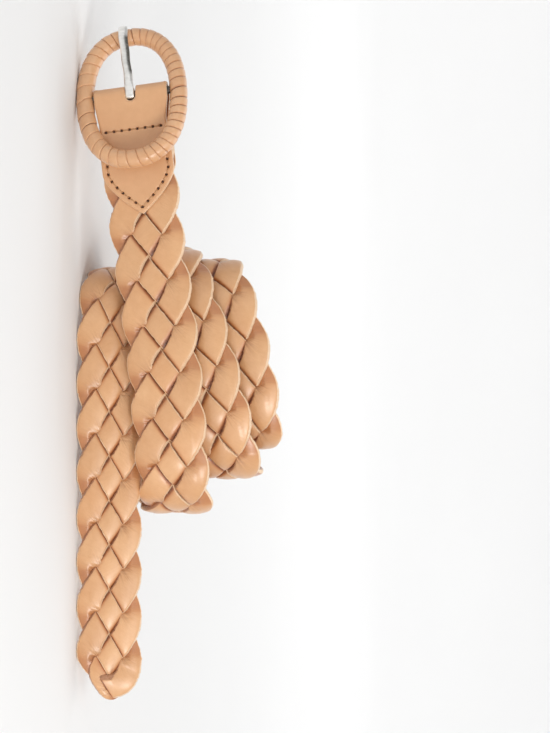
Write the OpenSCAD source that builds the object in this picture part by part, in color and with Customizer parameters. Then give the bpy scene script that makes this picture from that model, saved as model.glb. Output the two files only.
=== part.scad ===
// Braided leather belt, rolled into a loose coil and standing on its edge.
// The belt has a leather-wrapped oval centre-bar buckle with a metal tongue,
// and a folded, stitched, pointed chape.
// Millimetres. +X runs from the buckle to the tail tip, +Y goes into the coil, +Z is up.

/* [Node] */
// Sub-part to build, or all of them

/* [Braid] */
// Width of the braided strap across its bulges
strap_w = 35.2; // [33.5:0.1:35.5]
// Width of one cut strand
strand_w = 9; // [7.5:0.1:9]
// Thickness of one cut strand
strand_t = 1.8; // [1.4:0.1:1.8]
// Length of one row of the plait
row = 21.6; // [21:0.1:23]

/* [Buckle] */
// Length of the oval ring over its lacing
ring_l = 73; // [72.5:0.5:76]
// Width of the oval ring over its lacing
ring_w = 51.6; // [51.6:0.2:56]
// Diameter of the ring's steel core
core_d = 6; // [5:0.1:6]
// Thickness of the leather lace
lace_t = 1.1; // [0.8:0.1:1.1]
// Angle between the ring and the strap at rest
ring_tilt = 22.5; // [22:0.5:27]
// Diameter of the centre bar
bar_d = 3.6; // [3:0.1:3.6]
// Width of the tongue
tongue_w = 4.2; // [3.6:0.1:4.4]

/* [Chape] */
// Width of the chape
chape_w = 31.8; // [30:0.2:32]
// Thickness of the chape leather
chape_t = 1.8; // [1.5:0.1:1.8]
// Length of the front flap from the bar to its point
chape_l = 56; // [55:0.5:58]

/* [Hidden] */

shift = [0.765, -33.615, 0.01];

// ---- route of the strap: x, y, z, lean, half width ----
slope = 0.12;
bx = -126.4;
bz = 26;
head = [for (i = [-1:3]) [bx + 26*i, 0, bz + 26*slope*i, 0, 17.6]];
tail = [for (i = [0:8]) [-12 + 26*i, 4.5, 15, 17, 15.5]];
body = [
  [-20, -1.5, 40, 0, 17.6],
  [6, -2.5, 42.9, 0, 17.6],
  [30, -2, 44.8, 0, 17.6],
  [52, 2, 45.4, 0, 17.4],
  [67, 14, 45.6, 0, 17.4],
  [68, 36, 42, 0, 17.4],
  [57, 60, 33, 0, 17.4],
  [34, 76, 22.5, 0, 17.4],
  [6, 84, 16.7, 0, 17.4],
  [-24, 80, 17.4, 0, 17.4],
  [-45, 66, 24.5, 0, 17.4],
  [-56, 44, 32, 0, 17.4],
  [-54, 21, 39, 0, 17.4],
  [-37, 8, 46.5, 0, 17.4],
  [-14, 6, 54.5, 0, 17.4],
  [10, 6.5, 61, 0, 17.4],
  [32, 10, 66, 0, 17.4],
  [49, 21, 68, 0, 17.4],
  [53, 39, 66, 0, 17.4],
  [42, 58, 60.5, 0, 17.4],
  [20, 70, 54, 0, 17.4],
  [-8, 73, 49.5, 0, 17.4],
  [-33, 64, 48, 0, 17.4],
  [-49, 46, 51, 0, 17.4],
  [-50, 27, 56.5, 0, 17.4],
  [-34, 16, 64.5, 0, 17.4],
  [-12, 15.5, 71.5, 0, 17.4],
  [10, 17, 76, 0, 17.4],
  [28, 23, 77.5, 0, 17.4],
  [38, 35, 75, 0, 17.2],
  [35, 50, 66, 0, 17],
  [17, 60, 48, 0, 16.6],
  [-8, 62, 31, -4, 16.2],
  [-30, 55, 19.5, -8, 15.8],
  [-44.5, 40, 16.4, -8, 15.6],
  [-46.5, 22, 15.8, 0, 15.5],
  [-34, 8.5, 15.2, 14, 15.5],
];
CP = concat(head, body, tail);
NS = len(CP) - 3;

function b3(f) = [pow(1-f, 3)/6, (3*f*f*f - 6*f*f + 4)/6, (-3*f*f*f + 3*f*f + 3*f + 1)/6, f*f*f/6];
function d3(f) = [-pow(1-f, 2)/2, (9*f*f - 12*f)/6, (-9*f*f + 6*f + 3)/6, f*f/2];
function segm(t) = min(floor(t), NS - 1);
function pt(t) = let (i = segm(t)) b3(t - i) * [CP[i], CP[i+1], CP[i+2], CP[i+3]];
function dr(t) = let (i = segm(t), d = d3(t - i) * [CP[i], CP[i+1], CP[i+2], CP[i+3]]) [d[0], d[1], d[2]];
function xyz(q) = [q[0], q[1], q[2]];
function unit(v) = v / norm(v);

// arc length to route parameter
SUB = 12;
S2T = [for (i = 0, L = 0; i <= NS*SUB; L = L + norm(xyz(pt((i+1)/SUB)) - xyz(pt(i/SUB))), i = i + 1) [L, i/SUB]];
route_l = S2T[len(S2T) - 1][0];

// frame at arc length s: origin, width direction, outward normal, half width
function fr(s) = let (t = lookup(s, S2T), q = pt(t), T = unit(dr(t)),
    W0 = unit([0, 0, 1] - T[2]*T), N0 = cross(T, W0),
    W = W0*cos(q[3]) - N0*sin(q[3]))
  [xyz(q), W, cross(T, W), q[4]];

// ---- plait ----
s_first = 20;
s_tip = route_l - 13;
ph0 = 0.7;
row_b = 20.8;
// rows of the plait at arc length s: slightly tighter towards the tail, whole rows to the tip
rows_a = (240 - ph0)/row;
rows_c = (400 - ph0)/row + 0.4;
rows_d = (660 - ph0)/row + 0.7;
rows_e = (780 - ph0)/row + 0.7;
rows_tip = round(rows_e + (s_tip - 780)/row_b) + 0.02;
R2 = [[-60, (-60 - ph0)/row], [240, rows_a], [400, rows_c], [520, rows_c + 120/row], [660, rows_d], [780, rows_e],
      [920, rows_tip - (s_tip - 920)/row_b], [s_tip, rows_tip], [s_tip + 100, rows_tip + 100/row_b]];
// turns of a strand's wave at arc length s, and back
S2P = [for (e = R2) [e[0], e[1]/4]];
P2S = [for (e = S2P) [e[1], e[0]]];
// half width, narrowing over the last rows
function hwf(s) = fr(s)[3]*(1 - 0.38*pow(max(0, min(1, (s - s_tip + 22)/22)), 1.8));
tri = 0.6;
function wv(p) = (sin(p) - tri/9*sin(3*p)) / (1 + tri/9);
function dwv(p) = (cos(p) - tri/3*cos(3*p)) / (1 + tri/9);
lift = strand_t/2 + 0.22;
// level of a strand over (+1) or under (-1) its neighbours
LV = [[-62, -1], [-28, -1], [-17, 1], [17, 1], [28, -1], [62, -1], [118, 1], [152, 1], [163, -1], [197, -1], [208, 1], [242, 1], [298, -1]];
function level(p) = let (m = p - 360*floor((p + 62)/360)) lookup(m, LV);
BR = [0, 17, 28, 45, 62, 76, 90, 104, 118, 135, 152, 163];
ang = 34;
skew_k = 360/(4*row)*cos(ang)*cos(2*ang)/sin(2*ang);
shear = 0.2;

// a point on the strap: arc length, across, out
function on(s, x, h) = let (f = fr(s + shear*x)) f[0] + f[1]*x + f[2]*h;
// place across the strap of strand k's centre line at wave angle p
function xk(p, hw) = (hw - strand_w*hw/35.2 - 0.1) * wv(p);
function edge(k, pc, side) = let (
    p = pc - side*strand_w/2*skew_k*max(-1, min(1, 1.3*dwv(pc))),
    s = lookup(p/360 + k/4, P2S), hw = hwf(s), w2 = strand_w/2*hw/17.6,
    x = xk(p, hw), dx = (hw - strand_w*hw/35.2 - 0.1)*dwv(p)*PI/180*360/(4*row),
    n = norm([1, dx]))
  [s - side*w2*dx/n, x + side*w2/n];

module strand(k) {
  p_lo = 360*(lookup(s_first, S2P) - k/4);
  p_hi = 360*(lookup(s_tip - tipcut(k), S2P) - k/4);
  P = concat([p_lo], [for (j = [floor(p_lo/180) : ceil(p_hi/180)]) for (b = BR) let (p = 180*j + b) if (p > p_lo + 3 && p < p_hi - 3) p], [p_hi]);
  n = len(P);
  pts = [for (p = P) let (h = lift*level(p), a = edge(k, p, -1), m = edge(k, p, 0), b = edge(k, p, 1), u = h - strand_t/2, v = h + strand_t/2)
    each [on(a[0], a[1], u), on(m[0], m[1], u), on(b[0], b[1], u),
          on(b[0], b[1], v), on(m[0], m[1], v), on(a[0], a[1], v)]];
  quads = [for (i = [0:n-2]) for (e = [0:5]) let (f = (e+1)%6)
    each [[6*i+e, 6*(i+1)+f, 6*i+f], [6*i+e, 6*(i+1)+e, 6*(i+1)+f]]];
  z = 6*n - 6;
  caps = [[0, 4, 5], [0, 1, 4], [1, 3, 4], [1, 2, 3], [z, z+5, z+4], [z, z+4, z+1], [z+1, z+4, z+3], [z+1, z+3, z+2]];
  polyhedron(points = pts, faces = concat(quads, caps), convexity = 12);
}
// the two strands that would leave the edge at the tip are cut shorter
function tipcut(k) = let (p = 360*(lookup(s_tip, S2P) - k/4), m = p - 180*floor(p/180)) (m > 100 || m < 20) ? 1 : 13;

// ---- buckle, in its own frame: origin on the centre bar, X along the strap, Z along the bar, -Y to the front ----
module at_bar() translate(shift) translate([bx, 0, bz]) rotate([0, -atan(slope), 0]) children();
module ring_frame() at_bar() rotate([0, 0, -ring_tilt]) children();

tube_r = core_d/2 + lace_t + 0.13;
ra = ring_l/2 - tube_r;
rb = ring_w/2 - tube_r;
ex = 2.3;
// the bar sits a little towards the toe from the ring's middle
ring_off = 1.3;
function sgnpow(v, e) = sign(v)*pow(abs(v), e);
function rp(u) = [ring_off + ra*sgnpow(cos(u), 2/ex), 0, rb*sgnpow(sin(u), 2/ex)];
// outward direction in the ring's plane
function rn(u) = let (d = rp(u + 0.6) - rp(u - 0.6)) unit([d[2], 0, -d[0]]);
function rpt(u, a, r) = rp(u) + r*(cos(a)*rn(u) + sin(a)*[0, 1, 0]);

module buckle_frame() color([0.75, 0.75, 0.77]) ring_frame() {
  n = 54; m = 12;
  pts = [for (i = [0:n-1]) for (j = [0:m-1]) rpt(360*i/n + 1.5, 360*j/m, core_d/2)];
  faces = [for (i = [0:n-1]) for (j = [0:m-1]) let (a = i*m + j, b = i*m + (j+1)%m, c = ((i+1)%n)*m + (j+1)%m, d = ((i+1)%n)*m + j)
    each [[a, c, b], [a, d, c]]];
  polyhedron(points = pts, faces = faces, convexity = 6);
}

bar_half = rb - core_d/2 + 0.5;
module centre_bar() color([0.75, 0.75, 0.77]) at_bar()
  translate([0, 0, -bar_half]) cylinder(d = bar_d, h = 2*bar_half, $fn = 48);

turns = 40;
// ring angle after a share t of the winding, tighter on the upper side
function uw(t) = 360*t + 12.6*cos(360*t);
module buckle_lace() color([0.82, 0.6, 0.42]) ring_frame() {
  m = 12; n = turns*m - 1;
  r0 = core_d/2 + 0.13; r1 = r0 + lace_t;
  pts = [for (i = [0:n]) let (t = i/(turns*m), u = uw(t), w = 360/turns*(1 - 0.22*sin(360*t))*0.5*0.9, a = 100 + 360*i/m)
    each [rpt(u - w, a, r0), rpt(u + w, a, r0), rpt(u + w, a, r1), rpt(u - w, a, r1)]];
  quads = [for (i = [0:n-1]) for (e = [0:3]) let (f = (e+1)%4)
    each [[4*i+e, 4*(i+1)+f, 4*i+f], [4*i+e, 4*(i+1)+e, 4*(i+1)+f]]];
  caps = [[0, 2, 3], [0, 1, 2], [4*n, 4*n+2, 4*n+1], [4*n, 4*n+3, 4*n+2]];
  polyhedron(points = pts, faces = concat(quads, caps), convexity = 12);
}

// ---- tongue: curled round the bar, resting on the ring's toe ----
curl_i = bar_d/2 + 0.06;
curl_o = curl_i + 1.25;
module tongue() color([0.8, 0.8, 0.82]) ring_frame() {
  toe = ra - ring_off;
  lay = tube_r + 0.12;
  difference() {
    union() {
      translate([0, 0, -tongue_w/2]) cylinder(r = curl_o, h = tongue_w, $fn = 48);
      translate([0, 0, -tongue_w/2]) linear_extrude(tongue_w)
        polygon([[0, -curl_o], [-8, -curl_o - 0.6], [-toe + 6, -lay - 1.7], [-toe + 1, -lay - 1.9], [-toe - 2.6, -lay - 1.1], [-toe - 4.2, -lay + 0.9],
                 [-toe - 3.2, -lay + 1.2], [-toe - 1.8, -lay - 0.02], [-toe + 6, -lay + 0.1], [-8, -1.5], [0, 0]]);
    }
    translate([0, 0, -tongue_w]) cylinder(r = curl_i, h = 2*tongue_w, $fn = 48);
  }
}

// ---- chape: one piece folded round the bar ----
half_in = max(lift + strand_t/2 + 0.3, bar_d/2 + 0.3);
half_out = half_in + chape_t;
slot_w = tongue_w + 1.2;
slot_x = curl_o + 0.6;
module outline(l, d) {
  // straight sides, then two arcs meeting in a point
  w = chape_w/2 - d; x1 = l - 20 ; h = 20 - d*1.25;
  R = (w*w + h*h)/(2*w);
  translate([0, -w]) square([x1 + 0.01, 2*w]);
  intersection() {
    translate([x1, -w]) square([h + 1, 2*w]);
    translate([x1, w - R]) circle(r = R, $fn = 180);
    translate([x1, R - w]) circle(r = R, $fn = 180);
  }
}
module flap(y, l) translate([0, y, 0]) rotate([90, 0, 0]) linear_extrude(chape_t) outline(l, 0);
module chape() color([0.82, 0.6, 0.42]) at_bar() difference() {
  union() {
    flap(-half_in, chape_l);
    flap(half_out, chape_l - 3);
    difference() {
      translate([0, 0, -chape_w/2]) cylinder(r = half_out, h = chape_w, $fn = 64);
      translate([0, 0, -chape_w]) cylinder(r = half_in, h = 2*chape_w, $fn = 64);
      translate([0.01, -10, -chape_w]) cube([20, 20, 2*chape_w]);
    }
  }
  translate([-10, -10, -slot_w/2]) cube([10 + slot_x, 20, slot_w]);
}

// ---- stitch rows: surface stitches joined by legs through the leather ----
th = 0.8;
function arc_pt(side, f, l, d) = let (w = chape_w/2 - d, x1 = l - 20, h = 20 - d*1.25, R = (w*w + h*h)/(2*w),
    A = asin(h/R)) [x1 + R*sin(A*f), side*(w - R + R*cos(A*f))];
module run(a, b, y) {
  v = b - a;
  translate([a[0], y, a[1]]) rotate([0, -atan2(v[1], v[0]), 0]) translate([-th/2, -th/2, -th/2]) cube([norm(v) + th, th, th]);
}
module row_of(P, back) {
  n = len(P);
  for (i = [0:n-1]) translate([P[i][0] - th/2, -half_out - 0.1, P[i][1] - th/2]) cube([th, 2*half_out + 0.2, th]);
  for (i = [0:n-2]) if (i % 2 == 0) run(P[i], P[i+1], -half_out - 0.1 - th/2 + 0.25);
  for (i = [0:n-2]) if (i % 2 == 1) run(P[i], P[i+1], half_out + 0.1 + th/2 - 0.25);
}
module bar_stitch() color([0.8, 0.62, 0.45]) at_bar()
  row_of([for (i = [-4:3]) [16.4, (i + 0.5)*3.7]], true);
CS = concat([for (i = [0:2]) [26 + 3.6*i, -(chape_w/2 - 2.7)]],
            [for (f = [0.05, 0.24, 0.43, 0.62, 0.81]) arc_pt(-1, f, chape_l, 2.7)],
            [[chape_l - 3.6, 0]],
            [for (f = [0.81, 0.62, 0.43, 0.24, 0.05]) arc_pt(1, f, chape_l, 2.7)],
            [for (i = [2:-1:0]) [26 + 3.6*i, chape_w/2 - 2.7]]);
module contour_stitch() color([0.8, 0.62, 0.45]) at_bar() row_of(CS, true);

module strand_1() color([0.84, 0.62, 0.44]) translate(shift) strand(0);
module strand_2() color([0.82, 0.6, 0.42]) translate(shift) strand(1);
module strand_3() color([0.84, 0.62, 0.44]) translate(shift) strand(2);
module strand_4() color([0.82, 0.6, 0.42]) translate(shift) strand(3);

buckle_frame();
centre_bar();
buckle_lace();
tongue();
chape();
strand_1();
strand_2();
strand_3();
strand_4();
bar_stitch();
contour_stitch();
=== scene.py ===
import bpy
import math
import numpy as np
from mathutils import Matrix, Vector
from mathutils.geometry import delaunay_2d_cdt


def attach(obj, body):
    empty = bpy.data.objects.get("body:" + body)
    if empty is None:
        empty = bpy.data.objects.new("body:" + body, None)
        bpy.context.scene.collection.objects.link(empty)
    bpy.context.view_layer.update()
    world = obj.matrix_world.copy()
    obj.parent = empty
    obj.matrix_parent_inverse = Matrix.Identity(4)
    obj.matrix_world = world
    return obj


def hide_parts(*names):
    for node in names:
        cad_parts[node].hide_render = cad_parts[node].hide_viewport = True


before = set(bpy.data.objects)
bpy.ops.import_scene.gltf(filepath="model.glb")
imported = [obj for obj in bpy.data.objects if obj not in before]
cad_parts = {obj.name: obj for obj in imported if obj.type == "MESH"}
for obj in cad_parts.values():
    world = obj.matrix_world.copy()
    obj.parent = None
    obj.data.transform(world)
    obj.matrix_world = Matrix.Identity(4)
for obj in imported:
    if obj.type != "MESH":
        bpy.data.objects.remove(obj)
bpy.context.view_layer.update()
RNG = np.random.default_rng(7)
MM = 0.001
SHIFT = np.array([0.765, -33.615, 0.01])

# ------------------------------------------------------------------ route of the strap (mm, as in the part)
SLOPE = 0.12
BX, BZ = -126.4, 26.0
BODY = [
    (-20, -1.5, 40, 0, 17.6), (6, -2.5, 42.9, 0, 17.6), (30, -2, 44.8, 0, 17.6), (52, 2, 45.4, 0, 17.4),
    (67, 14, 45.6, 0, 17.4), (68, 36, 42, 0, 17.4), (57, 60, 33, 0, 17.4), (34, 76, 22.5, 0, 17.4),
    (6, 84, 16.7, 0, 17.4), (-24, 80, 17.4, 0, 17.4), (-45, 66, 24.5, 0, 17.4), (-56, 44, 32, 0, 17.4),
    (-54, 21, 39, 0, 17.4), (-37, 8, 46.5, 0, 17.4), (-14, 6, 54.5, 0, 17.4), (10, 6.5, 61, 0, 17.4),
    (32, 10, 66, 0, 17.4), (49, 21, 68, 0, 17.4), (53, 39, 66, 0, 17.4), (42, 58, 60.5, 0, 17.4),
    (20, 70, 54, 0, 17.4), (-8, 73, 49.5, 0, 17.4), (-33, 64, 48, 0, 17.4), (-49, 46, 51, 0, 17.4),
    (-50, 27, 56.5, 0, 17.4), (-34, 16, 64.5, 0, 17.4), (-12, 15.5, 71.5, 0, 17.4), (10, 17, 76, 0, 17.4),
    (28, 23, 77.5, 0, 17.4), (38, 35, 75, 0, 17.2), (35, 50, 66, 0, 17), (17, 60, 48, 0, 16.6),
    (-8, 62, 31, -4, 16.2), (-30, 55, 19.5, -8, 15.8), (-44.5, 40, 16.4, -8, 15.6), (-46.5, 22, 15.8, 0, 15.5),
    (-34, 8.5, 15.2, 14, 15.5)]
CP = np.array([(BX + 26 * i, 0, BZ + 26 * SLOPE * i, 0, 17.6) for i in range(-1, 4)] + BODY
              + [(-12 + 26 * i, 4.5, 15, 17, 15.5) for i in range(9)], float)
NS = len(CP) - 3


def route(t, der=False):
    t = np.clip(np.asarray(t, float), 0, NS - 1e-9)
    i = np.floor(t).astype(int)
    f = (t - i)[..., None]
    if der:
        b = [-(1 - f) ** 2 / 2, (9 * f * f - 12 * f) / 6, (-9 * f * f + 6 * f + 3) / 6, f * f / 2]
    else:
        b = [(1 - f) ** 3 / 6, (3 * f ** 3 - 6 * f * f + 4) / 6, (-3 * f ** 3 + 3 * f * f + 3 * f + 1) / 6, f ** 3 / 6]
    return sum(b[j] * CP[i + j] for j in range(4))


_ts = np.linspace(0, NS, NS * 12 + 1)
_P = route(_ts)[:, :3]
_L = np.concatenate([[0], np.cumsum(np.linalg.norm(np.diff(_P, axis=0), axis=1))])
ROUTE_L = _L[-1]
S_TIP = ROUTE_L - 13
ROW, ROW_B, PH0 = 21.6, 20.8, 0.7
rows_c = (400 - PH0) / ROW + 0.4
rows_e = (780 - PH0) / ROW + 0.7
rows_tip = round(rows_e + (S_TIP - 780) / ROW_B) + 0.02
R2 = np.array([[-60, (-60 - PH0) / ROW], [240, (240 - PH0) / ROW], [400, rows_c], [520, rows_c + 120 / ROW],
               [660, (660 - PH0) / ROW + 0.7], [780, rows_e], [920, rows_tip - (S_TIP - 920) / ROW_B],
               [S_TIP, rows_tip], [S_TIP + 100, rows_tip + 100 / ROW_B]])
SHEAR = 0.2


def strap_frame(s):
    t = np.interp(s, _L, _ts)
    q = route(t)
    T = route(t, True)[..., :3]
    T /= np.linalg.norm(T, axis=-1, keepdims=True)
    W = np.array([0, 0, 1.0]) - T[..., 2:3] * T
    W /= np.linalg.norm(W, axis=-1, keepdims=True)
    N = np.cross(T, W)
    a = np.radians(q[..., 3:4])
    W2 = W * np.cos(a) - N * np.sin(a)
    return q[..., :3], W2, np.cross(T, W2), q[..., 4], T


def on(s, x, h):
    C, W, N, _, T = strap_frame(s + SHEAR * x)
    return C + W * x[..., None] + N * h[..., None]


# ------------------------------------------------------------------ mesh helpers
def new_mesh(name, verts_mm, faces, attrs=None, uv=None, smooth=True, shift=True):
    v = (np.asarray(verts_mm, float) + (SHIFT if shift else 0)) * MM
    me = bpy.data.meshes.new(name)
    me.from_pydata([tuple(p) for p in v], [], [tuple(int(i) for i in f) for f in faces])
    me.validate()
    for k, a in (attrs or {}).items():
        at = me.attributes.new(k, "FLOAT", "POINT")
        at.data.foreach_set("value", np.asarray(a, np.float32))
    if smooth:
        me.polygons.foreach_set("use_smooth", [True] * len(me.polygons))
    me.update()
    ob = bpy.data.objects.new(name, me)
    bpy.context.scene.collection.objects.link(ob)
    if uv is not None:
        lay = me.uv_layers.new(name="UVMap")
        idx = np.zeros(len(me.loops), np.int32)
        me.loops.foreach_get("vertex_index", idx)
        lay.data.foreach_set("uv", np.asarray(uv, np.float32)[idx].ravel())
    return ob


def grid_faces(nr, nc, wrap=True, flip=False):
    i = np.arange(nr - 1)[:, None]
    j = np.arange(nc if wrap else nc - 1)[None, :]
    a = i * nc + j
    b = i * nc + (j + 1) % nc
    c = (i + 1) * nc + (j + 1) % nc
    d = (i + 1) * nc + j
    q = np.stack(np.broadcast_arrays(a, b, c, d), -1).reshape(-1, 4)
    return q[:, ::-1] if flip else q


def smooth01(x):
    x = np.clip(x, 0, 1)
    return x * x * (3 - 2 * x)


# ------------------------------------------------------------------ node materials
def _n(nt, kind, **kw):
    n = nt.nodes.new(kind)
    for k, v in kw.items():
        if k in n.inputs.keys() if hasattr(n.inputs, "keys") else False:
            n.inputs[k].default_value = v
        else:
            setattr(n, k, v)
    return n


def _noise(nt, vec, scale, detail=4.0, rough=0.55, dist=0.0):
    n = nt.nodes.new("ShaderNodeTexNoise")
    n.inputs["Scale"].default_value = scale
    n.inputs["Detail"].default_value = detail
    n.inputs["Roughness"].default_value = rough
    n.inputs["Distortion"].default_value = dist
    nt.links.new(vec, n.inputs["Vector"])
    return n.outputs["Fac"]


def _math(nt, op, a, b=None, clamp=False):
    n = nt.nodes.new("ShaderNodeMath")
    n.operation = op
    n.use_clamp = clamp
    for i, v in enumerate((a, b)):
        if v is None:
            continue
        if isinstance(v, (int, float)):
            n.inputs[i].default_value = v
        else:
            nt.links.new(v, n.inputs[i])
    return n.outputs[0]


def _ramp(nt, fac, stops):
    n = nt.nodes.new("ShaderNodeValToRGB")
    el = n.color_ramp.elements
    while len(el) > 1:
        el.remove(el[-1])
    for i, (p, c) in enumerate(stops):
        e = el[0] if i == 0 else el.new(p)
        e.position = p
        e.color = c if len(c) == 4 else (*c, 1)
    nt.links.new(fac, n.inputs["Fac"])
    return n.outputs["Color"]


def _mix(nt, fac, a, b, mode="MIX"):
    n = nt.nodes.new("ShaderNodeMix")
    n.data_type = "RGBA"
    n.blend_type = mode
    for i, v in ((0, fac), (6, a), (7, b)):
        if isinstance(v, (int, float)):
            n.inputs[i].default_value = v
        elif isinstance(v, tuple):
            n.inputs[i].default_value = (*v, 1) if len(v) == 3 else v
        else:
            nt.links.new(v, n.inputs[i])
    return n.outputs[2]


def _attr(nt, name):
    n = nt.nodes.new("ShaderNodeAttribute")
    n.attribute_name = name
    return n.outputs["Fac"]


def _bump(nt, height, strength, dist, normal=None):
    n = nt.nodes.new("ShaderNodeBump")
    n.inputs["Strength"].default_value = strength
    n.inputs["Distance"].default_value = dist
    nt.links.new(height, n.inputs["Height"])
    if normal is not None:
        nt.links.new(normal, n.inputs["Normal"])
    return n.outputs["Normal"]


def lin(r, g, b):
    f = lambda c: c / 12.92 if c <= 0.04045 else ((c + 0.055) / 1.055) ** 2.4
    return (f(r / 255), f(g / 255), f(b / 255))


def leather(name, light, dark, edge, rough=0.5, seed=0.0, lines=True):
    """Smooth vegetable-tanned grain with pale fibrous cut edges."""
    m = bpy.data.materials.new(name)
    m.use_nodes = True
    nt = m.node_tree
    bsdf = nt.nodes["Principled BSDF"]
    co = nt.nodes.new("ShaderNodeTexCoord").outputs["Object"]
    mp = nt.nodes.new("ShaderNodeMapping")
    mp.inputs["Location"].default_value = (seed, seed * 0.7, seed * 1.3)
    nt.links.new(co, mp.inputs["Vector"])
    co = mp.outputs["Vector"]
    broad = _noise(nt, co, 34, 3)
    mottle = _noise(nt, co, 260, 4, 0.6)
    fine = _noise(nt, co, 1900, 3, 0.6)
    f = _math(nt, "ADD", _math(nt, "MULTIPLY", broad, 0.55), _math(nt, "MULTIPLY", mottle, 0.35))
    f = _math(nt, "ADD", f, _math(nt, "MULTIPLY", fine, 0.10))
    col = _ramp(nt, f, [(0.36, dark), (0.64, light)])
    # pores
    vor = nt.nodes.new("ShaderNodeTexVoronoi")
    vor.feature = "F1"
    vor.inputs["Scale"].default_value = 1500
    nt.links.new(co, vor.inputs["Vector"])
    pore = _math(nt, "LESS_THAN", vor.outputs["Distance"], 0.13)
    pore = _math(nt, "MULTIPLY", pore, _math(nt, "GREATER_THAN", _noise(nt, co, 420, 2), 0.52))
    col = _mix(nt, _math(nt, "MULTIPLY", pore, 0.22), col, tuple(c * 0.55 for c in dark), "MIX")
    # painted shade where a strand dives under its neighbour and in the creases of the bends: the tuck mask darkens the
    # colour towards deep brown
    tuck_shade = _attr(nt, "tuck_shade")
    tk = _math(nt, "MULTIPLY", tuck_shade, _math(nt, "ADD", 0.65, _math(nt, "MULTIPLY", mottle, 0.5)), clamp=True)
    tcol = _ramp(nt, tk, [(0.0, tuple(a * b for a, b in zip(dark, (0.93, 0.74, 0.51)))), (0.5, tuple(a * b for a, b in zip(dark, (0.66, 0.39, 0.20)))), (1.0, tuple(a * b for a, b in zip(dark, (0.17, 0.075, 0.035))))])
    col = _mix(nt, _math(nt, "MULTIPLY", tk, 1.5, True), col, tcol)
    # fine creases that fan out from the inner corner of each bend: painted shade along the crease lines, with a
    # matching bump
    if lines:
        def fan_lines(scale, lo, hi):
            n1 = nt.nodes.new("ShaderNodeTexNoise")
            n1.noise_dimensions = "1D"
            n1.inputs["Scale"].default_value = scale
            n1.inputs["Detail"].default_value = 2.0
            n1.inputs["Roughness"].default_value = 0.6
            nt.links.new(_attr(nt, "fan"), n1.inputs["W"])
            d = _math(nt, "ABSOLUTE", _math(nt, "SUBTRACT", n1.outputs["Fac"], 0.5))
            mr = nt.nodes.new("ShaderNodeMapRange")
            mr.interpolation_type = "SMOOTHSTEP"
            mr.inputs["From Min"].default_value = lo
            mr.inputs["From Max"].default_value = hi
            mr.inputs["To Min"].default_value = 1.0
            mr.inputs["To Max"].default_value = 0.0
            nt.links.new(d, mr.inputs["Value"])
            return mr.outputs["Result"]
        rays = _math(nt, "MAXIMUM", fan_lines(1.0, 0.0, 0.055), _math(nt, "MULTIPLY", fan_lines(2.3, 0.0, 0.06), 0.55))
        ray = _math(nt, "MULTIPLY", rays, _attr(nt, "ray"), True)
        col = _mix(nt, _math(nt, "MULTIPLY", ray, 0.85), col, tuple(a * b for a, b in zip(dark, (0.55, 0.36, 0.24))))
        uvn = nt.nodes.new("ShaderNodeTexCoord").outputs["UV"]
        um = nt.nodes.new("ShaderNodeMapping")
        um.inputs["Scale"].default_value = (130, 16, 1)
        nt.links.new(uvn, um.inputs["Vector"])
        wrk = _noise(nt, um.outputs["Vector"], 1.0, 4, 0.6, 0.5)
        col = _mix(nt, _math(nt, "MULTIPLY", _math(nt, "SUBTRACT", wrk, 0.45), 0.5, True), col, tuple(a * b for a, b in zip(dark, (0.78, 0.66, 0.52))))
    # cut edge
    em = _attr(nt, "edge")
    fib = _noise(nt, co, 3200, 5, 0.75)
    efac = _math(nt, "ADD", em, _math(nt, "MULTIPLY", _math(nt, "SUBTRACT", fib, 0.5), 0.7), clamp=True)
    efac = _math(nt, "GREATER_THAN", efac, 0.5)
    ecol = _ramp(nt, fib, [(0.35, tuple(c * f for c, f in zip(edge, (0.72, 0.6, 0.5)))), (0.58, edge)])
    if lines:
        # painted shade: the rim mask darkens the cut faces that face away from the light to deep brown
        shade = _math(nt, "MULTIPLY", _attr(nt, "rim"), _math(nt, "ADD", 0.55, _math(nt, "MULTIPLY", broad, 0.7)), True)
        ecol = _mix(nt, shade, ecol, tuple(a * b for a, b in zip(dark, (0.56, 0.29, 0.13))))
    col = _mix(nt, _math(nt, "MULTIPLY", efac, em), col, ecol)
    nt.links.new(col, bsdf.inputs["Base Color"])
    r = _math(nt, "ADD", rough - 0.13, _math(nt, "MULTIPLY", mottle, 0.16))
    r = _math(nt, "ADD", r, _math(nt, "MULTIPLY", em, 0.3), clamp=True)
    nt.links.new(r, bsdf.inputs["Roughness"])
    bsdf.inputs["Specular IOR Level"].default_value = 0.62
    bsdf.inputs["Coat Weight"].default_value = 0.75
    bsdf.inputs["Coat Roughness"].default_value = 0.30
    bsdf.inputs["Sheen Weight"].default_value = 0.06
    bsdf.inputs["Sheen Roughness"].default_value = 0.4
    # grain
    vg = nt.nodes.new("ShaderNodeTexVoronoi")
    vg.feature = "DISTANCE_TO_EDGE"
    vg.inputs["Scale"].default_value = 1150
    nt.links.new(co, vg.inputs["Vector"])
    cell = _math(nt, "MINIMUM", vg.outputs["Distance"], 0.12)
    nrm = _bump(nt, cell, 0.22, 0.0004)
    nrm = _bump(nt, fine, 0.14, 0.0003, nrm)
    nrm = _bump(nt, mottle, 0.12, 0.0007, nrm)
    if lines:
        nrm = _bump(nt, wrk, 0.22, 0.0006, nrm)
        nrm = _bump(nt, _math(nt, "SUBTRACT", 1.0, ray), 0.55, 0.0006, nrm)
    nrm = _bump(nt, _math(nt, "MULTIPLY", fib, em), 0.6, 0.0006, nrm)
    nt.links.new(nrm, bsdf.inputs["Normal"])
    return m


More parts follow.
